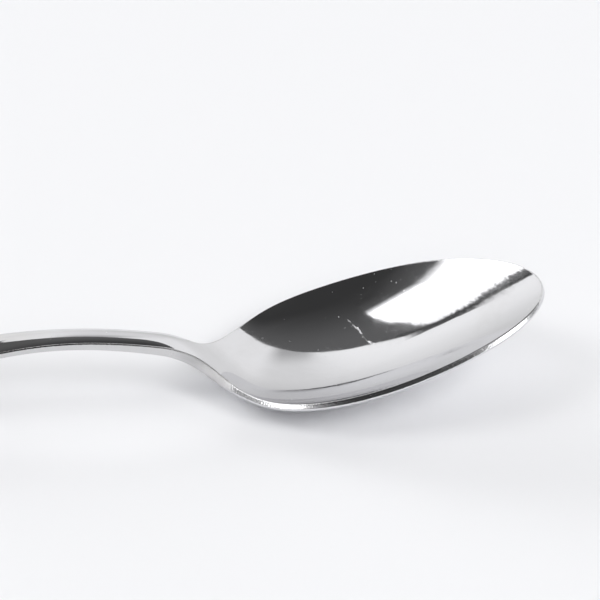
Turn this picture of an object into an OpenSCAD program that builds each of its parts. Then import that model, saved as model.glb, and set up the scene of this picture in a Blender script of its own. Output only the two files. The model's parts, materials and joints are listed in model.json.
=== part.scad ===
// Tablespoon pressed from one blank of polished steel.
// The blank is a bent sheet: a plan outline, a side line for its edge and a dish,
// made thick along the sheet's own normal, with rounded edges all round.
// Bowl, neck and handle are zones of that sheet and meet face to face.
// Lengths along the spoon count from the bowl's root: tip positive, handle negative.

/* [Bowl] */
// Length of the bowl from its root at the neck to the tip
bowl_length = 65.5; // [54:0.5:78]
// Width of the bowl between the inner edges of its rim
bowl_width = 44.8; // [36:0.2:54]
// Depth of the dish at mid-length, below the line of the rim
bowl_depth = 6.6; // [4:0.1:10]
// Share by which the dish is deeper at the neck and shallower at the tip
heel_bias = 0.12; // [0:0.01:0.3]
// Share by which the outline is narrower than an ellipse at the tip
tip_narrowing = 0.04; // [0:0.01:0.15]
// Thickness of the bowl's wall
bowl_wall = 1.45; // [1:0.05:2.5]
// Rise of the rim from its lowest place to the tip
rim_rise = 13.3; // [6:0.1:20]
// Distance of the rim's lowest place from the root
rim_dip = 10; // [6:0.5:14]
// Share by which the rim's slope eases off at both ends of its rise
rim_ease = 0.15; // [0:0.05:0.6]

/* [Neck] */
// Width of the stem at the neck
neck_width = 6.1; // [4.5:0.1:9]
// Thickness of the stem at its thickest
neck_thickness = 2.3; // [1.6:0.1:3.6]
// Distance from the root back to the thickest place
thickest_back = 5; // [2:0.5:8]
// Distance from the root back to where the stem starts to thicken
thicken_back = 60; // [40:1:80]
// Length over which the thick stem thins out into the bowl
thin_out = 10; // [6:0.5:16]
// Distance from the root back to where the stem starts to widen
neck_back = 25; // [16:0.5:32]
// Distance from the root back to where the shoulders leave the stem
shoulder_back = 7.5; // [4:0.5:10]
// Length over which the shoulders fill out to the bowl's outline
shoulder_length = 9.7; // [7:0.1:14]
// Reach of the bend between stem and rim, to each side of the root
neck_bend = 12.5; // [8:0.5:14]

/* [Handle] */
// Length of the handle from the root to its end
handle_length = 134; // [115:0.5:160]
// Width of the handle at its widest
handle_width = 21; // [14:0.5:28]
// Thickness of the handle at its edges
handle_thickness = 1.3; // [1:0.1:3]
// Height of the rounded crown on top of the handle
handle_crown = 0.6; // [0.2:0.05:1.2]
// Share by which the crown is higher on the thick stem
crown_swell = 0.35; // [0:0.05:0.6]
// Distance from the root back to where the crown starts to level out
crown_back = 17; // [12:0.5:22]
// Length of the round end
end_round = 13.5; // [9:0.5:20]
// Length of the flat at the end that lies on the table
rest_length = 24; // [16:0.5:30]
// Height of the handle's edge over the table at the top of the arch
arch_height = 14.3; // [8:0.1:24]
// Distance of the arch's top from the root
arch_back = 33.5; // [24:0.5:44]

/* [Edges and steps] */
// Radius of the rounded edges
edge_radius = 0.3; // [0.1:0.05:0.45]
// Steps along the round end
end_steps = 8; // [6:1:14]
// Steps along the handle
handle_steps = 22; // [14:1:40]
// Steps along the neck
neck_steps = 7; // [4:1:14]
// Steps along the bowl
bowl_steps = 56; // [36:1:70]
// Steps across the sheet, an even number
cross_steps = 20; // [12:2:24]
// Steps round each edge
edge_steps = 2; // [2:1:3]

/* [Hidden] */

steel = [0.78, 0.78, 0.8];
// Step for slopes taken as differences
probe = 0.02;
// How fast the shoulders turn from the stem into the bowl's outline
shoulder_power = 1.55;

handle_end = -handle_length;
widest_x = handle_end + end_round;
rest_front = handle_end + rest_length;
half_wave = -arch_back - rest_front;
bowl_start = -shoulder_back;
bowl_run = bowl_length - bowl_start;

// Rise from 0 to 1 with no step in slope
function ease(t) = let(c = min(1, max(0, t))) c * c * (3 - 2 * c);

// Rise from 0 to 1 with no step in slope or in curvature
function smooth(t) = let(c = min(1, max(0, t))) c * c * c * (c * (6 * c - 15) + 10);

function mix(a, b, t) = a + (b - a) * t;
function unit(v) = v / norm(v);

// Plan outline: the half-width squared, which keeps a finite slope at both ends

function bowl_share(x) = max(0, (x - bowl_start) / bowl_run);

function egg_sq(x) =
    let(s = bowl_share(x))
    let(fill = 1 - exp(-pow(s * bowl_run / shoulder_length, shoulder_power)))
    let(taper = 1 - tip_narrowing * pow(s, 3))
    pow(bowl_width * fill * taper, 2) * s * (1 - s);

function end_share(x) = 1 - pow(max(0, widest_x - x) / end_round, 2);

function stem_sq(x) =
    let(widening = ease((-neck_back - x) / (-neck_back - widest_x)))
    let(half = mix(neck_width, handle_width, widening) / 2)
    let(fade = 1 - smooth(x / (bowl_length / 2)))
    pow(half * fade, 2) * end_share(x);

function wide_sq(x) = egg_sq(x) + stem_sq(x);
function half_width(x) = sqrt(max(0, wide_sq(x)));

// Side line of the sheet's edge over the table, before the bowl is lifted clear of it

function handle_line(x) =
    let(turn = 180 * (x + arch_back) / half_wave)
    let(wave = x < rest_front ? 0 : (1 + cos(turn)) / 2)
    mix(handle_thickness, arch_height, wave);

function rim_line(x) =
    let(s = (x - rim_dip) / (bowl_length - rim_dip))
    rim_rise * (s - rim_ease * sin(360 * s) / (2 * PI));

function neck_blend(x) = smooth((x + neck_bend) / (2 * neck_bend));

// The sheet: its height, its slopes and its normal at a place in the plan

function dish(x, y) =
    let(stem = stem_sq(x))
    let(in_bowl = stem > 0 ? egg_sq(x) / wide_sq(x) : 1)
    let(bias = 1 + heel_bias * (1 - 2 * bowl_share(x)))
    bowl_depth * bias * (egg_sq(x) - in_bowl * y * y) / pow(bowl_width / 2, 2);

function edge_line(x, lift) = mix(handle_line(x), rim_line(x) + lift, neck_blend(x));
function sheet(x, y, lift) = edge_line(x, lift) - dish(x, y);

function normal(x, y, lift) =
    let(slope_x = (sheet(x + probe, y, lift) - sheet(x - probe, y, lift)) / (2 * probe))
    let(slope_y = (sheet(x, y + probe, lift) - sheet(x, y - probe, lift)) / (2 * probe))
    unit([-slope_x, -slope_y, 1]);

// How far the stem has gathered towards its thickest place
function gather(x) = pow(max(0, x + thicken_back) / (thicken_back - thickest_back), 2);

function thickness(x) =
    let(body = mix(handle_thickness, bowl_wall, ease((x + neck_bend) / (2 * neck_bend))))
    let(spread = 1 - ease((x + thickest_back) / thin_out))
    body + (neck_thickness - handle_thickness) * gather(x) * spread;

function crown(x) =
    let(swell = 1 + crown_swell * gather(x))
    handle_crown * end_share(x) * swell * (1 - smooth((x + crown_back) / crown_back));

// One loop of points round the sheet at a station, seen from the tip:
// down the right edge, across the underside, up the left edge, back over the top

function side_points(x, lift) =
    let(w = half_width(x))
    let(slope_sq = (wide_sq(x + probe) - wide_sq(x - probe)) / (2 * probe))
    let(out = unit([-slope_sq / 2, w]))
    let(up = normal(x, w, lift))
    let(climb = -(up.x * out.x + up.y * out.y) / up.z)
    let(outward = unit([out.x, out.y, climb]))
    let(edge = [x, w, edge_line(x, lift)])
    let(upper = edge - edge_radius * (outward + up))
    let(lower = edge - edge_radius * outward - (thickness(x) - edge_radius) * up)
    concat(
        [for (i = [0:edge_steps])
            let(a = 90 * i / edge_steps)
            upper + edge_radius * (up * cos(a) + outward * sin(a))],
        [for (i = [0:edge_steps])
            let(a = 90 * i / edge_steps)
            lower + edge_radius * (outward * cos(a) - up * sin(a))]);

function mirrored(p) = [p.x, -p.y, p.z];

function cross_points(x, w, side, lift) =
    [for (i = [1:cross_steps - 1])
        let(q = side > 0 ? 2 * i / cross_steps - 1 : 1 - 2 * i / cross_steps)
        let(y = q * w)
        let(up = normal(x, y, lift))
        let(offset = side > 0 ? crown(x) * (1 - q * q) : -thickness(x))
        [x, y, sheet(x, y, lift)] + offset * up];

function loop_points(x, lift) =
    let(right = side_points(x, lift))
    let(last = len(right) - 1)
    let(inner = right[0])
    concat(
        right,
        cross_points(inner.x, inner.y, -1, lift),
        [for (i = [last:-1:0]) mirrored(right[i])],
        cross_points(inner.x, inner.y, 1, lift));

// Stations along each zone

end_stations = [for (i = [0:end_steps]) widest_x - end_round * cos(90 * i / end_steps)];
stem_stations = [for (i = [1:handle_steps]) mix(widest_x, -neck_back, i / handle_steps)];
handle_stations = concat(end_stations, stem_stations);
neck_stations = [for (i = [0:neck_steps]) mix(-neck_back, bowl_start, i / neck_steps)];
bowl_stations = [for (i = [0:bowl_steps]) bowl_start + bowl_run * (1 - cos(180 * i / bowl_steps)) / 2];

// The bowl is lifted until its heel, the lowest place of its underside, touches the table.
// The bend of the neck takes part in the lift, so a second pass takes up what the first leaves.

function heel_height(lift) =
    min([for (x = bowl_stations) sheet(x, 0, lift) - thickness(x) * normal(x, 0, lift).z]);

first_lift = -heel_height(0);
bowl_lift = first_lift - heel_height(first_lift);

// The origin is under the middle of the spoon's length
tip_reach = max([for (p = side_points(bowl_length, bowl_lift)) p.x]);
middle_x = (tip_reach + handle_end) / 2;

// Points and faces of a zone. Where the outline closes, a loop folds into one line of points.

side_count = 2 * (edge_steps + 1);
cross_count = cross_steps - 1;
loop_count = 2 * (side_count + cross_count);

function folded(j) =
    j < side_count ? j :
    j < side_count + cross_count ? side_count - 1 :
    j < 2 * side_count + cross_count ? 2 * side_count + cross_count - 1 - j :
    0;

module zone(stations, start_closes, end_closes) {
    last = len(stations) - 1;
    head_count = start_closes ? side_count : loop_count;
    closes = [for (i = [0:last]) i == 0 ? start_closes : i == last ? end_closes : false];

    points = [for (i = [0:last])
        each (closes[i] ? side_points(stations[i], bowl_lift) : loop_points(stations[i], bowl_lift))];

    function index(i, j) =
        let(k = j % loop_count)
        (i == 0 ? 0 : head_count + (i - 1) * loop_count) + (closes[i] ? folded(k) : k);

    skin = [for (i = [0:last - 1])
        for (j = [0:loop_count - 1])
            let(a = index(i, j))
            let(b = index(i + 1, j))
            let(c = index(i + 1, j + 1))
            let(d = index(i, j + 1))
            for (f = [[a, c, b], [a, d, c]])
                if (f[0] != f[1] && f[1] != f[2] && f[2] != f[0]) f];

    start_face = start_closes ? [] : [[for (j = [loop_count - 1:-1:0]) index(0, j)]];
    end_face = end_closes ? [] : [[for (j = [0:loop_count - 1]) index(last, j)]];

    translate([-middle_x, 0, 0])
        polyhedron(points, concat(skin, start_face, end_face));
}

module bowl() {
    color(steel) zone(bowl_stations, false, true);
}

module neck() {
    color(steel) zone(neck_stations, false, false);
}

module handle() {
    color(steel) zone(handle_stations, true, false);
}

bowl();
neck();
handle();
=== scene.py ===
"""Tablespoon of mirror-polished steel on a pale table, laid out as an add-on and run as a script.

The spoon is one pressed blank, so its visible piece is one closed skin made by a geometry node tree.
Lengths along the spoon count from the bowl's root at the neck: the tip is positive, the handle negative.
"""

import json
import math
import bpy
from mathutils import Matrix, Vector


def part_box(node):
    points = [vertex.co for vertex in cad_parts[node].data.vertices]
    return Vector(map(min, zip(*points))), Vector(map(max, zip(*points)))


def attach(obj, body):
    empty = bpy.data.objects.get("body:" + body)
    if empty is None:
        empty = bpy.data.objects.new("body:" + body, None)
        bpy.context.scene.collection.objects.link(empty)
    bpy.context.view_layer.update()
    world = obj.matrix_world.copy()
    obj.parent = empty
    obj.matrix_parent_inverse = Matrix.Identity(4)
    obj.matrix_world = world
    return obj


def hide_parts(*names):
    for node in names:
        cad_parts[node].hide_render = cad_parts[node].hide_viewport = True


bl_info = {
    "name": "Tablespoon",
    "version": (1, 0, 0),
    "blender": (4, 5, 0),
    "location": "View3D > Sidebar > Tablespoon",
    "description": "Makes a polished steel tablespoon, the table it lies on, its light and its camera",
    "category": "Object",
}

from types import SimpleNamespace

import bpy
from mathutils import Vector

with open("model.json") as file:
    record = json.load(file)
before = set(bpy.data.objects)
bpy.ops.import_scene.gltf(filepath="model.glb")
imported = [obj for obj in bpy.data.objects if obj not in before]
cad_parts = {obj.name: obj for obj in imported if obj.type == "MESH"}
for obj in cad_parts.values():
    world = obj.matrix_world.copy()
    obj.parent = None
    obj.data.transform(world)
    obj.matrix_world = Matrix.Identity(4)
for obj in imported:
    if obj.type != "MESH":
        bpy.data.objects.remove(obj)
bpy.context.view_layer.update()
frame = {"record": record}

SPOON_NODES = ("bowl", "neck", "handle")
SPOON_BODY = "root"
STEEL_SLOT = "polished_steel"
STEEL_RECORD = next(m for m in frame["record"]["materials"] if m["slot"] == STEEL_SLOT)


def length(name, description, default):
    """A size in metres that a user may change."""
    return bpy.props.FloatProperty(
        name=name, description=description, default=default, unit="LENGTH", precision=5
    )


def share(name, description, default):
    """A plain number that a user may change."""
    return bpy.props.FloatProperty(
        name=name, description=description, default=default, precision=3
    )


def count(name, description, default):
    """A number of steps that a user may change."""
    return bpy.props.IntProperty(name=name, description=description, default=default, min=2)


def turn(name, description, degrees):
    """An angle that a user may change."""
    return bpy.props.FloatProperty(
        name=name, description=description, default=math.radians(degrees), subtype="ANGLE"
    )


def colour(name, description, default):
    """A colour that a user may change."""
    return bpy.props.FloatVectorProperty(
        name=name, description=description, default=default, subtype="COLOR", min=0, max=1
    )


class SpoonSizes(bpy.types.PropertyGroup):
    """Sizes of the pressed blank, the same as the solid model's."""

    bowl_length: length("Bowl length", "From the root at the neck to the tip", 0.0655)
    bowl_width: length("Bowl width", "Between the inner edges of the rim", 0.0448)
    bowl_depth: length("Bowl depth", "Depth of the dish at mid-length", 0.0066)
    bowl_wall: length("Bowl wall", "Thickness of the bowl's wall", 0.00145)
    bowl_lift: length("Bowl lift", "Lift that sets the heel on the table", 0.006004)
    heel_bias: share("Heel bias", "How much deeper the dish is at the neck", 0.12)
    tip_narrowing: share("Tip narrowing", "How much narrower the tip is than an ellipse", 0.04)
    rim_rise: length("Rim rise", "Rise of the rim from its lowest place to the tip", 0.0133)
    rim_dip: length("Rim dip", "Distance of the rim's lowest place from the root", 0.010)
    rim_ease: share("Rim ease", "How much the rim's slope eases off at its ends", 0.15)
    neck_width: length("Neck width", "Width of the stem at the neck", 0.0061)
    neck_thickness: length("Neck thickness", "Thickness of the stem at its thickest", 0.0023)
    thickest_back: length("Thickest back", "From the root back to the thickest place", 0.005)
    thicken_back: length("Thicken back", "From the root back to where the stem thickens", 0.060)
    thin_out: length("Thin out", "Length over which the stem thins into the bowl", 0.010)
    neck_back: length("Neck back", "From the root back to where the stem widens", 0.025)
    neck_bend: length("Neck bend", "Reach of the bend to each side of the root", 0.0125)
    shoulder_back: length("Shoulder back", "From the root back to the shoulders", 0.0075)
    shoulder_length: length("Shoulder length", "Length over which the shoulders fill out", 0.0097)
    shoulder_power: share("Shoulder power", "How fast the shoulders turn into the bowl", 1.55)
    handle_length: length("Handle length", "From the root to the handle's end", 0.134)
    handle_width: length("Handle width", "Width of the handle at its widest", 0.021)
    handle_thickness: length("Handle thickness", "Thickness at the handle's edges", 0.0013)
    handle_crown: length("Handle crown", "Height of the crown on top of the handle", 0.0006)
    crown_swell: share("Crown swell", "How much higher the crown is on the thick stem", 0.35)
    crown_back: length("Crown back", "From the root back to where the crown levels out", 0.017)
    end_round: length("End round", "Length of the handle's round end", 0.0135)
    rest_length: length("Rest length", "Length of the flat that lies on the table", 0.024)
    arch_height: length("Arch height", "Height of the handle's edge at its arch", 0.0143)
    arch_back: length("Arch back", "From the root back to the top of the arch", 0.0335)
    upper_radius: length("Upper radius", "Radius of the rounded upper edges", 0.0003)
    lower_radius: length("Lower radius", "Radius of the rounded lower edges", 0.0005)
    stations: count("Stations", "Loops of points along the spoon", 481)
    top_steps: count("Top steps", "Steps from the middle of the top to an edge", 28)
    arc_steps: count("Arc steps", "Steps round each rounded edge", 5)
    face_steps: count("Face steps", "Steps down the face of an edge", 4)
    under_steps: count("Underside steps", "Steps from an edge to the middle below", 20)


class SteelFinish(bpy.types.PropertyGroup):
    """Look of the polished steel."""

    tint: colour("Tint", "Colour of the clean steel", STEEL_RECORD["base_color"][:3])
    # The dull tint also colours the darker handle and the painted shade on the stem's sides.
    dull: colour("Dull tint", "Colour of hazy, worn and ground places", (0.66, 0.655, 0.66))
    polish: share("Polish", "Roughness of the clean mirror finish", 0.047)
    grazing: colour("Grazing tint", "Share of light mirrored at a grazing angle", (0.90, 0.90, 0.90))


class StageLook(bpy.types.PropertyGroup):
    """Table, light and camera."""

    table_colour: colour("Table colour", "Colour of the pale table", (0.862, 0.866, 0.884))
    backdrop_colour: colour("Backdrop colour", "Colour behind the table", (0.90, 0.91, 0.925))
    ambient: share("Ambient", "Strength of the even light on the table from all round", 0.37)
    azimuth: turn("Azimuth", "Turn of the camera round the spoon", -8)
    elevation: turn("Elevation", "Height of the camera over the table", 30)
    distance: length("Distance", "From the camera to the place it looks at", 0.5)
    lens: share("Lens", "Focal length in millimetres", 150)
    sensor: share("Sensor", "Width of the camera's sensor in millimetres", 36)
    aim_x: length("Aim X", "Place on the X axis that the camera looks at", 0.050276)
    aim_z: length("Aim height", "Height over the table that the camera looks at", 0.018845)


class Value:
    """A socket of a node tree that turns Python maths into Math nodes."""

    def __init__(self, tree, socket):
        self.tree = tree
        self.socket = socket

    def math(self, operation, *others):
        return self.tree.math(operation, self, *others)

    def __add__(self, other):
        return self.math("ADD", other)

    __radd__ = __add__

    def __sub__(self, other):
        return self.math("SUBTRACT", other)

    def __rsub__(self, other):
        return self.tree.math("SUBTRACT", other, self)

    def __mul__(self, other):
        return self.math("MULTIPLY", other)

    __rmul__ = __mul__

    def __truediv__(self, other):
        return self.math("DIVIDE", other)

    def __pow__(self, other):
        return self.math("POWER", other)

    def __neg__(self):
        return 0 - self

    def __abs__(self):
        return self.math("ABSOLUTE")

    def clamped(self):
        return self.math("MAXIMUM", 0).math("MINIMUM", 1)


class Tree:
    """A node tree that makes its nodes from one method."""

    def __init__(self, data):
        self.data = data

    def node(self, kind, settings=None, inputs=None):
        """A node of one kind, with its settings first and then its sockets' values or links."""
        made = self.data.nodes.new(kind)
        for name, value in (settings or {}).items():
            setattr(made, name, value)
        for key, value in (inputs or {}).items():
            self.feed(made.inputs[key], value)
        return made

    def feed(self, socket, value):
        """Links a value to a socket, or sets the socket to a plain value."""
        if isinstance(value, Value):
            self.data.links.new(value.socket, socket)
        elif isinstance(value, bpy.types.NodeSocket):
            self.data.links.new(value, socket)
        else:
            socket.default_value = value

    def value(self, made, output=0):
        return Value(self, made.outputs[output])

    def math(self, operation, *operands):
        inputs = dict(enumerate(operands))
        return self.value(self.node("ShaderNodeMath", {"operation": operation}, inputs))

    def parts(self, vector):
        """The three numbers of a vector."""
        split = self.node("ShaderNodeSeparateXYZ", {}, {0: vector})
        return [self.value(split, i) for i in range(3)]

    def vector(self, x, y, z):
        return self.value(self.node("ShaderNodeCombineXYZ", {}, {0: x, 1: y, 2: z}))

    def vector_math(self, operation, a, b=None, scale=None):
        inputs = {0: a}
        if b is not None:
            inputs[1] = b
        if scale is not None:
            inputs["Scale"] = scale
        made = self.node("ShaderNodeVectorMath", {"operation": operation}, inputs)
        return self.value(made, "Value" if operation == "LENGTH" else "Vector")

    def mix_colour(self, factor, a, b):
        # The node has sockets of the same names for numbers and vectors, so these go by their places
        made = self.node("ShaderNodeMix", {"data_type": "RGBA"}, {0: factor, 6: a, 7: b})
        return self.value(made, 2)

    def noise(self, vector, scale, detail=2.0, roughness=0.5, distortion=0.0):
        sockets = {"Vector": vector, "Scale": scale, "Detail": detail}
        sockets.update({"Roughness": roughness, "Distortion": distortion})
        return self.value(self.node("ShaderNodeTexNoise", {}, sockets))

    def step(self, value, low, high):
        """Smooth rise from 0 to 1 as a value goes from low to high."""
        settings = {"interpolation_type": "SMOOTHSTEP"}
        inputs = {"Value": value, "From Min": low, "From Max": high}
        return self.value(self.node("ShaderNodeMapRange", settings, inputs))

    def band(self, value, start, full, fade, end):
        """Smooth rise from 0 to 1 between start and full, and fall back to 0 between fade and end."""
        return self.step(value, start, full) * self.step(value, end, fade)


def ease(t):
    """Rise from 0 to 1 with no step in slope."""
    c = t.clamped()
    return c * c * (3 - 2 * c)


def smooth(t):
    """Rise from 0 to 1 with no step in slope or in curvature."""
    c = t.clamped()
    return c * c * c * (c * (6 * c - 15) + 10)


def mix(a, b, t):
    """Goes from a to b as t goes from 0 to 1."""
    return a + (b - a) * t


def size_names():
    return list(SpoonSizes.__annotations__)


def size_label(name):
    return SpoonSizes.bl_rna.properties[name].name


def add_size_inputs(tree):
    """Gives a node tree one named input for each size, and returns the sockets by the sizes' names."""
    for name in size_names():
        whole = SpoonSizes.bl_rna.properties[name].type == "INT"
        kind = "NodeSocketInt" if whole else "NodeSocketFloat"
        tree.data.interface.new_socket(size_label(name), in_out="INPUT", socket_type=kind)
    source = tree.node("NodeGroupInput")
    return {name: Value(tree, source.outputs[size_label(name)]) for name in size_names()}


# Keeps a share from being divided by zero, in square metres
TINY_AREA = 1e-15


def section_group():
    """Node group: outline, height, bend, thickness and crown of the pressed sheet at a place along it."""
    tree = Tree(bpy.data.node_groups.new("Spoon section", "GeometryNodeTree"))
    tree.data.interface.new_socket("Along", in_out="INPUT", socket_type="NodeSocketFloat")
    s = SimpleNamespace(**add_size_inputs(tree))
    source = next(n for n in tree.data.nodes if n.type == "GROUP_INPUT")
    x = Value(tree, source.outputs["Along"])

    bowl_run = s.bowl_length + s.shoulder_back
    bowl_share = ((x + s.shoulder_back) / bowl_run).math("MAXIMUM", 0)
    widest_x = s.end_round - s.handle_length
    rest_front = s.rest_length - s.handle_length

    fill_power = (bowl_share * bowl_run / s.shoulder_length) ** s.shoulder_power
    fill = 1 - (-fill_power).math("EXPONENT")
    taper = 1 - s.tip_narrowing * bowl_share * bowl_share * bowl_share
    egg = (s.bowl_width * fill * taper).math("POWER", 2) * bowl_share * (1 - bowl_share)

    end_gap = (widest_x - x).math("MAXIMUM", 0) / s.end_round
    end_share = 1 - end_gap * end_gap
    widening = ease((s.neck_back + x) / (s.neck_back + widest_x))
    half = mix(s.neck_width, s.handle_width, widening) / 2
    stem_half = half * (1 - smooth(x / (s.bowl_length / 2)))
    stem = stem_half * stem_half * end_share

    half_wave = -s.arch_back - rest_front
    arch_turn = ((x + s.arch_back) / half_wave).math("MAXIMUM", -1) * math.pi
    wave = (1 + arch_turn.math("COSINE")) / 2
    handle_line = mix(s.handle_thickness, s.arch_height, wave)

    climb = (x - s.rim_dip) / (s.bowl_length - s.rim_dip)
    eased = climb - s.rim_ease * (climb * (2 * math.pi)).math("SINE") / (2 * math.pi)
    rim_line = s.rim_rise * eased + s.bowl_lift
    bend_share = (x + s.neck_bend) / (2 * s.neck_bend)
    edge_line = mix(handle_line, rim_line, smooth(bend_share))

    half_bowl = s.bowl_width / 2
    bias = 1 + s.heel_bias * (1 - 2 * bowl_share)
    depth = s.bowl_depth * bias / (half_bowl * half_bowl)
    in_bowl = egg / (egg + abs(stem) + TINY_AREA)

    gather_root = (x + s.thicken_back).math("MAXIMUM", 0) / (s.thicken_back - s.thickest_back)
    gather = gather_root * gather_root
    spread = 1 - ease((x + s.thickest_back) / s.thin_out)
    thickening = (s.neck_thickness - s.handle_thickness) * gather * spread
    body = mix(s.handle_thickness, s.bowl_wall, ease(bend_share))

    crown_share = end_share * (1 - smooth((x + s.crown_back) / s.crown_back))
    results = {
        "Half-width squared": egg + stem,
        "Middle height": edge_line - depth * egg,
        "Cross bend": depth * in_bowl,
        "Thickness": body + thickening,
        "Crown": s.handle_crown * crown_share * (1 + s.crown_swell * gather),
    }
    for name in results:
        tree.data.interface.new_socket(name, in_out="OUTPUT", socket_type="NodeSocketFloat")
    tree.node("NodeGroupOutput", {}, results)
    return tree.data


# Step for slopes taken as differences
PROBE = 2e-5
# Points closer than this are one point of the skin
WELD = 2e-7


def spoon_tree(steel, shift):
    """Geometry node tree of the whole skin: a flat grid bent into loops round the pressed sheet."""
    tree = Tree(bpy.data.node_groups.new("Spoon skin", "GeometryNodeTree"))
    sizes = add_size_inputs(tree)
    s = SimpleNamespace(**sizes)
    tree.data.interface.new_socket("Skin", in_out="OUTPUT", socket_type="NodeSocketGeometry")
    section = section_group()

    def at(x):
        inputs = {size_label(name): socket for name, socket in sizes.items()}
        made = tree.node("GeometryNodeGroup", {"node_tree": section}, {"Along": x, **inputs})
        return lambda output: tree.value(made, output)

    half_steps = s.top_steps + 2 * s.arc_steps + s.face_steps + s.under_steps
    columns = 2 * half_steps + 1
    grid_sizes = {"Size X": 1, "Size Y": 1, "Vertices X": s.stations, "Vertices Y": columns}
    grid = tree.node("GeometryNodeMeshGrid", {}, grid_sizes)
    spot = tree.parts(tree.value(tree.node("GeometryNodeInputPosition")))
    along = spot[0] + 0.5
    side = spot[1].math("SIGN")
    steps = abs(spot[1]) * 2 * half_steps

    # Where a point is on its half loop: over the top, down the edge, back below
    arc_start = s.top_steps
    face_start = arc_start + s.arc_steps
    turn_start = face_start + s.face_steps
    top_share = (steps / s.top_steps).clamped()
    under_share = ((half_steps - steps) / s.under_steps).clamped()
    upper_arc = ((steps - arc_start) / s.arc_steps).clamped() * (math.pi / 2)
    face_share = ((steps - face_start) / s.face_steps).clamped()
    lower_arc = ((steps - turn_start) / s.arc_steps).clamped() * (math.pi / 2)
    across = (top_share.math("MINIMUM", under_share) * (math.pi / 2)).math("SINE")

    # Stations crowd together at both ends, where the outline closes
    whole = s.handle_length + s.bowl_length
    x = whole * (1 - (along * math.pi).math("COSINE")) / 2 - s.handle_length
    here = at(x)
    half_width = here("Half-width squared").math("MAXIMUM", 0).math("SQRT")
    # The way outwards from the outline has the half-width and half the slope of its square as parts
    widening = at(x + PROBE)("Half-width squared") - at(x - PROBE)("Half-width squared")
    out_x = -widening / (4 * PROBE)
    out_size = (out_x * out_x + half_width * half_width).math("SQRT")

    upper_gap = 1 - upper_arc.math("SINE")
    lower_gap = 1 - lower_arc.math("COSINE")
    inset = s.upper_radius * upper_gap + s.lower_radius * lower_gap
    flat = here("Thickness") - s.upper_radius - s.lower_radius
    upper_drop = s.upper_radius * (1 - upper_arc.math("COSINE"))
    lower_drop = s.lower_radius * lower_arc.math("SINE")
    crown = here("Crown") * (1 - across * across) * (1 - face_share)
    offset = crown - flat * face_share - upper_drop - lower_drop

    # The sheet under the point, and its slopes
    px = x - inset * out_x / out_size
    py = side * across * (half_width - inset * half_width / out_size)
    place = at(px)
    ahead = at(px + PROBE)
    behind = at(px - PROBE)
    height = place("Middle height") + place("Cross bend") * py * py
    rise = ahead("Middle height") - behind("Middle height")
    twist = ahead("Cross bend") - behind("Cross bend")
    slope_x = (rise + twist * py * py) / (2 * PROBE)
    slope_y = 2 * place("Cross bend") * py
    normal = tree.vector_math("NORMALIZE", tree.vector(-slope_x, -slope_y, 1))
    sheet = tree.vector(px + shift, py, height)
    position = tree.vector_math("ADD", sheet, tree.vector_math("SCALE", normal, scale=offset))

    geometry = tree.value(grid, "Mesh")
    edge_band = tree.step(upper_gap + lower_gap, 1, 0.5)
    fields = {"edge_band": edge_band, "under_side": face_share, "along": x, "across": across}
    for name, field in fields.items():
        settings = {"data_type": "FLOAT", "domain": "POINT"}
        inputs = {"Geometry": geometry, "Name": name, "Value": field}
        geometry = tree.value(tree.node("GeometryNodeStoreNamedAttribute", settings, inputs))
    placed = tree.node("GeometryNodeSetPosition", {}, {"Geometry": geometry, "Position": position})
    welded = tree.node("GeometryNodeMergeByDistance", {}, {0: placed.outputs[0], "Distance": WELD})
    shaded = tree.node("GeometryNodeSetShadeSmooth", {}, {0: welded.outputs[0]})
    real = tree.node("GeometryNodeRealizeInstances", {}, {0: shaded.outputs[0]})
    dressed = tree.node("GeometryNodeSetMaterial", {}, {0: real.outputs[0], "Material": steel})
    tree.node("NodeGroupOutput", {}, {"Skin": dressed.outputs[0]})
    return tree.data


def new_material(name):
    """An empty node material and the tree it is drawn in."""
    material = bpy.data.materials.new(name)
    material.use_nodes = True
    material.node_tree.nodes.clear()
    return material, Tree(material.node_tree)


# Deep scratch across the far side of the dish: places along the spoon and across it, in metres
SCRATCH = (
    (0.0277, 0.0135),
    (0.0298, 0.0098),
    (0.0305, 0.0070),
    (0.0314, 0.0050),
    (0.0322, 0.0040),
)
# Distances from that line at which the scratch begins and is full, and how far it wanders
SCRATCH_EDGES = (0.00027, 0.00008)
SCRATCH_WANDER = 0.0007
# Directions of the fine hairline scratches, in degrees from the spoon's length
HAIRLINE_TURNS = (-62, -24, 8, 37, 71)
# Hairlines that fit in a metre end to end and side by side
HAIRLINES_LENGTHWISE = 120
HAIRLINES_CROSSWISE = 5200
# Where the sides of the stem turn into the bowl's bright rim, along the spoon
STEM_FRONT = (-0.0005, 0.003)
# Heights of the lip and the levelling near the rim, and the share of the half-width where both begin
LIP_HEIGHT = 2.6e-4
LEVEL_HEIGHT = 1.2e-4
LIP_START = 0.77
# Heights of the long waves and of the ripples, in most of the bowl and at its tip
WAVE_HEIGHT = 8e-6
RIPPLE_HEIGHTS = (1.2e-6, 3.8e-6)
# Heights of the streaks and the pits on the ground edges, and depth of the scratch
STREAK_HEIGHT = 9e-6
PIT_HEIGHT = 4e-5
SCRATCH_DEPTH = 6e-6


def hairlines(tree, x, y):
    """Mask of fine scratches over the plan, in a few directions."""
    lines = None
    for layer, degrees in enumerate(HAIRLINE_TURNS):
        c = math.cos(math.radians(degrees))
        s = math.sin(math.radians(degrees))
        lengthwise = HAIRLINES_LENGTHWISE * (c * x + s * y)
        crosswise = HAIRLINES_CROSSWISE * (c * y - s * x)
        field = tree.noise(tree.vector(lengthwise, crosswise, layer), 1.0, 1.0)
        mask = tree.step(field, 0.70, 0.80)
        lines = mask if lines is None else lines.math("MAXIMUM", mask)
    return lines


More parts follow.
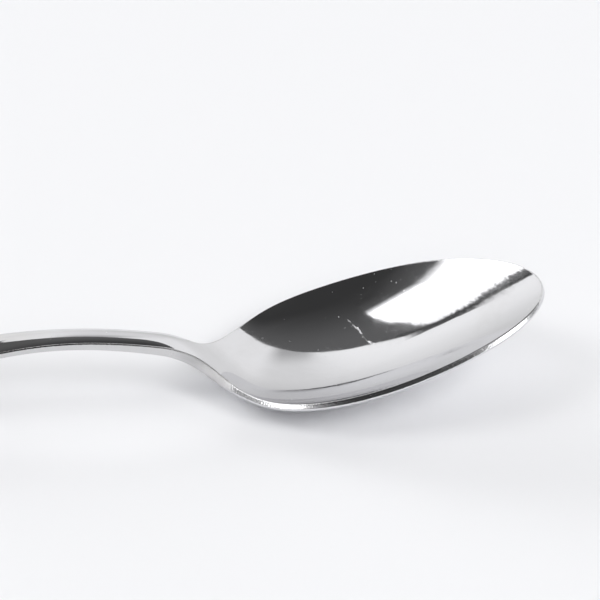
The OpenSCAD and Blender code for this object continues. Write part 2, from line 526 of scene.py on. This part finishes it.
def deep_scratch(tree, x, y):
    """Mask of one broken scratch along a line of places."""
    nearest = None
    for (ax, ay), (bx, by) in zip(SCRATCH, SCRATCH[1:]):
        run = (bx - ax) ** 2 + (by - ay) ** 2
        t = (((x - ax) * (bx - ax) + (y - ay) * (by - ay)) / run).clamped()
        gap_x = x - ax - t * (bx - ax)
        gap_y = y - ay - t * (by - ay)
        gap = (gap_x * gap_x + gap_y * gap_y).math("SQRT")
        nearest = gap if nearest is None else nearest.math("MINIMUM", gap)
    wander = SCRATCH_WANDER * (tree.noise(tree.vector(x, y, 0), 900.0, 3.0, 0.7) - 0.5)
    beads = tree.noise(tree.vector(x, y, 0.03), 1150.0, 1.0)
    broken = mix(0.25, 1.0, tree.step(beads, 0.49, 0.58))
    return tree.step(nearest + wander, *SCRATCH_EDGES) * broken


def rim_lip(tree, along, y, across):
    """Height of the shallow lip at the far shoulder, less the levelling along the middle of the rim."""
    far_shoulder = tree.band(along, 0.006, 0.012, 0.022, 0.029) * tree.step(y, 0, 0.003)
    middle = tree.band(along, 0.027, 0.036, 0.048, 0.056)
    near_rim = ((across - LIP_START) / (1 - LIP_START)).clamped() ** 2
    return near_rim * (LIP_HEIGHT * far_shoulder - LEVEL_HEIGHT * middle)


def waviness(tree, place, along):
    """Height of the slight unevenness that a mirror shows, with stronger ripples at the tip."""
    ripple = mix(*RIPPLE_HEIGHTS, tree.step(along, 0.042, 0.054))
    return WAVE_HEIGHT * tree.noise(place, 210.0, 2.0) + ripple * tree.noise(place, 800.0, 1.0)


def steel_material(look):
    """Mirror-polished steel with haze, hairlines, dust specks, a deep scratch, ground edges, a darker
    handle and painted shade on the stem's sides.
    """
    material, tree = new_material("polished_steel")
    place = tree.value(tree.node("ShaderNodeTexCoord"), "Object")
    y = tree.parts(place)[1]
    fields = []
    for name in ("edge_band", "under_side", "along", "across"):
        fields.append(tree.value(tree.node("ShaderNodeAttribute", {"attribute_name": name}), "Fac"))
    edge, under_side, along, across = fields

    haze = tree.step(tree.noise(place, 75.0, 4.0, 0.6, 0.6), 0.42, 0.72)
    cloud = tree.noise(place, 420.0, 3.0, 0.6) - 0.5
    patches = tree.step(tree.noise(place, 160.0, 2.0), 0.45, 0.65)
    lines = hairlines(tree, along, y) * patches
    specks = tree.step(tree.noise(place, 1500.0, 1.0), 0.74, 0.82)
    scratch = deep_scratch(tree, along, y) * (1 - under_side)
    streaks = tree.noise(tree.vector(420 * along, 7 * under_side, 900 * y), 1.0, 3.0, 0.65)
    ground = edge * tree.step(streaks, 0.40, 0.62)
    # Painted shade: the side faces of the stem and handle are darkened towards the dull tint, ending
    # where they turn into the bowl's rim.
    stem_sides_painted_shade = edge * tree.step(along, *reversed(STEM_FRONT))
    neck_sides = edge * tree.band(along, -0.012, -0.006, *STEM_FRONT)
    # The handle's colour turns darker from 30 to 42 mm behind the root and stays so to its end.
    darker_handle = tree.step(along, -0.030, -0.042)

    roughness = look.polish * (1 + 0.9 * haze + 0.5 * cloud)
    roughness = roughness + 0.16 * lines + 0.30 * specks + 0.27 * scratch
    roughness = roughness + 0.02 * edge + 0.10 * ground + 0.45 * neck_sides
    # The dull tint mixes in random haze, cloud and ground streaks, the darker handle and the painted
    # shade on the stem's sides.
    dulled = 0.23 * haze + 0.33 * ground + 0.2 * cloud + 0.9 * darker_handle + 0.9 * stem_sides_painted_shade
    tint = tree.mix_colour(dulled.clamped(), (*look.tint, 1), (*look.dull, 1))
    pits = edge * (STREAK_HEIGHT * streaks + PIT_HEIGHT * tree.noise(place, 2400.0, 2.0))
    height = waviness(tree, place, along) + pits - SCRATCH_DEPTH * scratch
    height = height + rim_lip(tree, along, y, across)
    bump = tree.node("ShaderNodeBump", {}, {"Strength": 1.0, "Distance": 1.0, "Height": height})

    sockets = {"Base Color": tint, "Metallic": 1.0, "Roughness": roughness, "Normal": bump.outputs[0]}
    sockets["Specular Tint"] = (*look.grazing, 1)
    shader = tree.node("ShaderNodeBsdfPrincipled", {}, sockets)
    tree.node("ShaderNodeOutputMaterial", {}, {"Surface": shader.outputs[0]})
    return material


def plain_mesh(name, points, faces):
    """An object at the origin with a mesh of these points and faces."""
    mesh = bpy.data.meshes.new(name)
    mesh.from_pydata(points, [], faces)
    mesh.update()
    piece = bpy.data.objects.new(name, mesh)
    bpy.context.scene.collection.objects.link(piece)
    return piece


class TABLESPOON_OT_spoon(bpy.types.Operator):
    """Make the spoon's skin, bowl, neck and handle in one"""

    bl_idname = "tablespoon.spoon"
    bl_label = "Spoon"

    def execute(self, context):
        sizes = context.scene.spoon_sizes
        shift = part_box("handle")[0].x + sizes.handle_length
        steel = steel_material(context.scene.steel_finish)
        tree = spoon_tree(steel, shift)
        spoon = plain_mesh("tablespoon", [], [])
        bend = spoon.modifiers.new("Skin", "NODES")
        bend.node_group = tree
        labels = {size_label(name): name for name in size_names()}
        for item in tree.interface.items_tree:
            if item.in_out == "INPUT":
                bend[item.identifier] = getattr(sizes, labels[item.name])
        evaluated = spoon.evaluated_get(context.evaluated_depsgraph_get())
        skin = bpy.data.meshes.new_from_object(evaluated)
        spoon.modifiers.clear()
        spoon.data = skin
        skin.name = "tablespoon"
        if not skin.polygons:
            raise RuntimeError("the node tree made no skin")
        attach(spoon, SPOON_BODY)
        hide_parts(*SPOON_NODES)
        return {"FINISHED"}


def away(azimuth, elevation):
    """Direction from the spoon, by the azimuth from straight behind it and the elevation, in radians."""
    level = math.cos(elevation)
    return Vector((math.sin(azimuth) * level, math.cos(azimuth) * level, math.sin(elevation)))


class TABLESPOON_OT_camera(bpy.types.Operator):
    """Set up the camera"""

    bl_idname = "tablespoon.camera"
    bl_label = "Camera"

    def execute(self, context):
        look = context.scene.stage_look
        target = Vector((look.aim_x, 0, look.aim_z))
        back = away(math.pi - look.azimuth, look.elevation)
        data = bpy.data.cameras.new("camera")
        data.lens = look.lens
        data.sensor_width = look.sensor
        data.clip_start = 0.01
        camera = bpy.data.objects.new("camera", data)
        camera.location = target + look.distance * back
        camera.rotation_euler = back.to_track_quat("Z", "Y").to_euler()
        context.scene.collection.objects.link(camera)
        context.scene.camera = camera
        return {"FINISHED"}


def card(name, points, faces, glow):
    """A pale card that only the polished metal sees. Its glow is a function of its tree and place."""
    sheet = plain_mesh(name, points, faces)
    material, tree = new_material(name)
    place = tree.parts(tree.value(tree.node("ShaderNodeTexCoord"), "Object"))
    shine = tree.node("ShaderNodeEmission", {}, {"Color": glow(tree, *place)})
    tree.node("ShaderNodeOutputMaterial", {}, {"Surface": shine.outputs[0]})
    sheet.data.materials.append(material)
    sheet.visible_camera = False
    sheet.visible_diffuse = False
    sheet.visible_shadow = False


def flat_card(name, root_x, y, outline, glow):
    """An upright flat card behind the spoon. Outline and glow go by the place beside the root and up."""
    points = [(root_x + side, y, z) for side, z in outline]

    def shine(tree, x, y, z):
        return glow(tree, x - root_x, z)

    card(name, points, [list(range(len(points)))], shine)


# Distance of the curved cards from the place they go round, and the number of flats in each
CURVE_RADIUS = 0.60
CURVE_STEPS = 24


def curved_card(name, centre, azimuths, heights, glow):
    """An upright card on an arc round a place on the table. Its glow goes by the azimuth and up."""
    angles = [math.radians(mix(*azimuths, i / CURVE_STEPS)) for i in range(CURVE_STEPS + 1)]
    ring = [(centre + CURVE_RADIUS * math.sin(a), CURVE_RADIUS * math.cos(a)) for a in angles]
    points = [(x, y, height) for x, y in ring for height in heights]
    faces = [(2 * i, 2 * i + 1, 2 * i + 3, 2 * i + 2) for i in range(CURVE_STEPS)]

    def shine(tree, x, y, z):
        azimuth = (x - centre).math("ARCTAN2", y) * math.degrees(1)
        return glow(tree, azimuth, z)

    card(name, points, faces, shine)


# Distances behind the spoon: the low card stands before the oval card and the softbox behind it
BACK_Y = 0.425
LOW_CARD_Y = BACK_Y - 0.002
SOFTBOX_Y = BACK_Y + 0.004
# Oval in the backdrop: its middle, its half-sizes and how round it is
OVAL_MIDDLE = (0.434, 0.348)
OVAL_HALF = (0.549, 0.460)
OVAL_POWER = 1.48
# How much larger the card is than the oval on it, and the number of its corners
OVAL_MARGIN = 1.012
OVAL_STEPS = 120
# Corners of the low card and of the softbox
LOW_CARD = ((-0.85, -0.02), (1.1, -0.02), (1.1, 0.281), (-0.85, 0.281))
SOFTBOX = (
    (-0.120, 0.328),
    (-0.174, 0.485),
    (-0.290, 0.977),
    (-0.500, 1.900),
    (-1.10, 1.900),
    (-1.10, 0.325),
)
# Places beside the root that the curved cards go round
LEFT_CENTRE = 0.010
RIGHT_CENTRE = 0.055
# Glow outside the oval, in the dark parts of the other cards and in the bright core of the curved ones
OUTSIDE_GLOW = 0.06
DIM_GLOW = 0.05
CORE_GLOW = 2.5


def back_glow(tree, side, z):
    """Glow of the pale backdrop: darker over the root of the bowl, brighter at the lower left."""
    level = 0.84 + 0.11 * tree.step(z, 0.05, 0.22) + 0.11 * tree.step(side, 0.0, -0.09)
    lower_left = 0.12 * tree.step(side, 0.06, -0.06) * tree.step(z, 0.16, 0.06)
    dim = 0.14 * tree.band(side, -0.04, 0.05, 0.10, 0.22)
    shade = 0.42 * tree.step(z, 0.34, 0.60) * tree.band(side, -0.035, 0.02, 0.10, 0.20)
    return (level + lower_left) * (1 - dim) * (1 - shade)


def oval_outline():
    """Corners of the card that carries the oval."""
    corners = []
    for i in range(OVAL_STEPS):
        angle = 2 * math.pi * i / OVAL_STEPS
        waves = (math.cos(angle), math.sin(angle))
        reach = [math.copysign(abs(w) ** (2 / OVAL_POWER), w) for w in waves]
        corners.append([m + OVAL_MARGIN * h * r for m, h, r in zip(OVAL_MIDDLE, OVAL_HALF, reach)])
    return corners


def oval_glow(tree, side, z):
    """Glow of the oval, which is pale inside and dark outside and past its cut left end."""
    level_side = (abs(side - OVAL_MIDDLE[0]) / OVAL_HALF[0]) ** OVAL_POWER
    level_z = (abs(z - OVAL_MIDDLE[1]) / OVAL_HALF[1]) ** OVAL_POWER
    inside = tree.step(level_side + level_z, 1.006, 0.984) * tree.step(side, -0.110, -0.104)
    return mix(OUTSIDE_GLOW, back_glow(tree, side, z), inside)


def softbox_glow(tree, side, z):
    """Glow of the softbox, which fades upwards along a slanted line and near its right edge."""
    # The line rises to the left, and faster past its bend
    height = z + 0.5 * (side + 0.353) + 1.3 * (side + 0.47).math("MINIMUM", 0)
    # The right edge leans to the left as it goes up
    past_edge = side + 0.045 + 0.241 * z
    core = 1.6 * tree.step(height, 1.00, 0.85) * tree.step(past_edge, -0.005, -0.035)
    fading = 1.30 * tree.step(height, 1.10, 0.93) + 0.05 * tree.step(height, 1.5, 1.05)
    return DIM_GLOW + fading + core


def left_glow(tree, azimuth, z):
    """Glow of the card at the front left, with a bright core in softer skirts."""
    skirt = 0.33 * tree.band(azimuth, -90, -97, -150, -160)
    middle = 0.85 * tree.band(azimuth, -102, -110, -136, -144)
    core = CORE_GLOW * tree.band(azimuth, -108, -114, -132, -138)
    soft = (skirt + middle) * mix(0.45, 1.0, tree.step(z, 0.06, 0.13))
    return soft + core * tree.step(z, 0.100, 0.118) + DIM_GLOW


def upper_glow(tree, azimuth, z):
    """Glow of the card above the left one."""
    return CORE_GLOW * tree.band(azimuth, -96, -102, -116, -124) + DIM_GLOW


def roof_glow(tree, azimuth, z):
    """Glow of the highest card at the left, which makes the bright line on the bowl's shoulder."""
    return 2.2 * tree.step(azimuth, -70, -76) * tree.step(z, 1.40, 1.20) + DIM_GLOW


def right_glow(tree, azimuth, z):
    """Glow of the card at the front right, with a bright core in softer skirts."""
    skirt = 0.20 * tree.step(azimuth, 152, 140) + 0.14 * tree.step(azimuth, 104, 94)
    middle = 1.05 * tree.band(azimuth, 92, 102, 130, 139)
    core = CORE_GLOW * tree.band(azimuth, 98, 106, 127, 134)
    return skirt + middle + core + DIM_GLOW


def make_cards(root_x):
    """The pale cards round the table, as the bowl, the rim and the handle mirror them."""
    flat_card("oval_card", root_x, BACK_Y, oval_outline(), oval_glow)
    flat_card("low_card", root_x, LOW_CARD_Y, LOW_CARD, back_glow)
    flat_card("softbox_card", root_x, SOFTBOX_Y, SOFTBOX, softbox_glow)
    left = root_x + LEFT_CENTRE
    curved_card("left_card", left, (-162, -88), (-0.01, 0.30), left_glow)
    curved_card("upper_card", left, (-125, -95), (0.30, 0.62), upper_glow)
    curved_card("roof_card", left, (-110, -70), (0.62, 1.40), roof_glow)
    curved_card("right_card", root_x + RIGHT_CENTRE, (72, 155), (0.0, 0.30), right_glow)


# Half-size of the table, and where it starts and ends to fade into the backdrop
TABLE_REACH = 6.0
TABLE_FADE = (0.6, 2.0)


def make_table(look):
    """A wide pale table that fades into the backdrop far from the spoon."""
    signs = ((-1, -1), (1, -1), (1, 1), (-1, 1))
    corners = [(x * TABLE_REACH, y * TABLE_REACH, 0) for x, y in signs]
    table = plain_mesh("table", corners, [(0, 1, 2, 3)])
    material, tree = new_material("pale_table")
    place = tree.value(tree.node("ShaderNodeTexCoord"), "Object")
    far = tree.step(tree.vector_math("LENGTH", place), *TABLE_FADE)
    paper = tree.node("ShaderNodeBsdfDiffuse", {}, {"Color": (*look.table_colour, 1)})
    haze = tree.node("ShaderNodeEmission", {}, {"Color": (*look.backdrop_colour, 1)})
    blend = {0: far, 1: paper.outputs[0], 2: haze.outputs[0]}
    fade = tree.node("ShaderNodeMixShader", {}, blend)
    tree.node("ShaderNodeOutputMaterial", {}, {"Surface": fade.outputs[0]})
    table.data.materials.append(material)


def make_world(look):
    """Pale backdrop for the camera, a dim room for the metal, low light from all round for the table."""
    world = bpy.data.worlds.new("studio")
    bpy.context.scene.world = world
    world.use_nodes = True
    world.node_tree.nodes.clear()
    tree = Tree(world.node_tree)
    rays = tree.node("ShaderNodeLightPath")
    seen = tree.value(rays, "Is Camera Ray")
    glossy = tree.value(rays, "Is Glossy Ray")
    mirrored = glossy.math("MAXIMUM", tree.value(rays, "Is Transmission Ray"))
    direction = tree.value(tree.node("ShaderNodeTexCoord"), "Generated")
    right, back, up = tree.parts(direction)

    low = 1 - tree.step(up, 0.05, 0.45)
    front = tree.step(back, 0.2, -0.7)
    ceiling = 0.042 + 0.085 * tree.step(back + 0.15 * right, 0.08, 0.6)
    walls = 0.32 * low * (1 - 0.9 * front) + 0.10 * front * right.math("MAXIMUM", 0)
    panel = tree.step(right, 0.22, 0.45) * tree.step(back, -0.12, -0.30) * tree.step(up, 0.48, 0.72)
    room = ceiling + walls + 0.75 * panel
    level = mix(mix(look.ambient, room, mirrored), 1.0, seen)
    tint = tree.mix_colour(seen, (1, 1, 1, 1), (*look.backdrop_colour, 1))
    sky = tree.node("ShaderNodeBackground", {}, {"Color": tint, "Strength": level})
    tree.node("ShaderNodeOutputWorld", {}, {"Surface": sky.outputs[0]})


# Soft lamps for the table: azimuth from straight behind the spoon and elevation in degrees, and watts
LAMPS = {
    "front_lamp": (180, 36, 6.5),
    "right_lamp": (130, 40, 16.5),
    "left_lamp": (-85, 48, 9.5),
    "low_lamp": (-30, 12, 28.0),
    "side_lamp": (65, 24, 8.0),
}
# Distance of every lamp from the origin, and its width
LAMP_REACH = 2.0
LAMP_SIZE = 1.0


def make_lamp(name, azimuth, elevation, watts):
    """A soft square lamp for the table, which the metal doesn't mirror."""
    data = bpy.data.lights.new(name, "AREA")
    data.shape = "SQUARE"
    data.size = LAMP_SIZE
    data.energy = watts
    direction = away(math.radians(azimuth), math.radians(elevation))
    lamp = bpy.data.objects.new(name, data)
    lamp.location = LAMP_REACH * direction
    lamp.rotation_euler = direction.to_track_quat("Z", "Y").to_euler()
    lamp.visible_camera = False
    lamp.visible_glossy = False
    bpy.context.scene.collection.objects.link(lamp)


class TABLESPOON_OT_stage(bpy.types.Operator):
    """Set up the table, the world and the light"""

    bl_idname = "tablespoon.stage"
    bl_label = "Stage"

    def execute(self, context):
        scene = context.scene
        look = scene.stage_look
        scene.view_settings.view_transform = "Standard"
        root_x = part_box("handle")[0].x + scene.spoon_sizes.handle_length
        make_table(look)
        make_world(look)
        make_cards(root_x)
        for name, setting in LAMPS.items():
            make_lamp(name, *setting)
        return {"FINISHED"}


class TABLESPOON_PT_panel(bpy.types.Panel):
    """Lists the steps that make the tablespoon"""

    bl_idname = "TABLESPOON_PT_panel"
    bl_label = "Tablespoon"
    bl_space_type = "VIEW_3D"
    bl_region_type = "UI"
    bl_category = "Tablespoon"

    def draw(self, context):
        for operator in OPERATORS:
            self.layout.operator(operator.bl_idname)


OPERATORS = (TABLESPOON_OT_camera, TABLESPOON_OT_spoon, TABLESPOON_OT_stage)
GROUPS = {
    "spoon_sizes": SpoonSizes,
    "steel_finish": SteelFinish,
    "stage_look": StageLook,
}


def register():
    for name, group in GROUPS.items():
        bpy.utils.register_class(group)
        setattr(bpy.types.Scene, name, bpy.props.PointerProperty(type=group))
    for made in (*OPERATORS, TABLESPOON_PT_panel):
        bpy.utils.register_class(made)


def unregister():
    for made in (TABLESPOON_PT_panel, *reversed(OPERATORS)):
        bpy.utils.unregister_class(made)
    for name, group in reversed(GROUPS.items()):
        delattr(bpy.types.Scene, name)
        bpy.utils.unregister_class(group)


def main():
    register()
    bpy.ops.tablespoon.camera()
    bpy.ops.tablespoon.spoon()
    bpy.ops.tablespoon.stage()


if __name__ == "__main__":
    main()
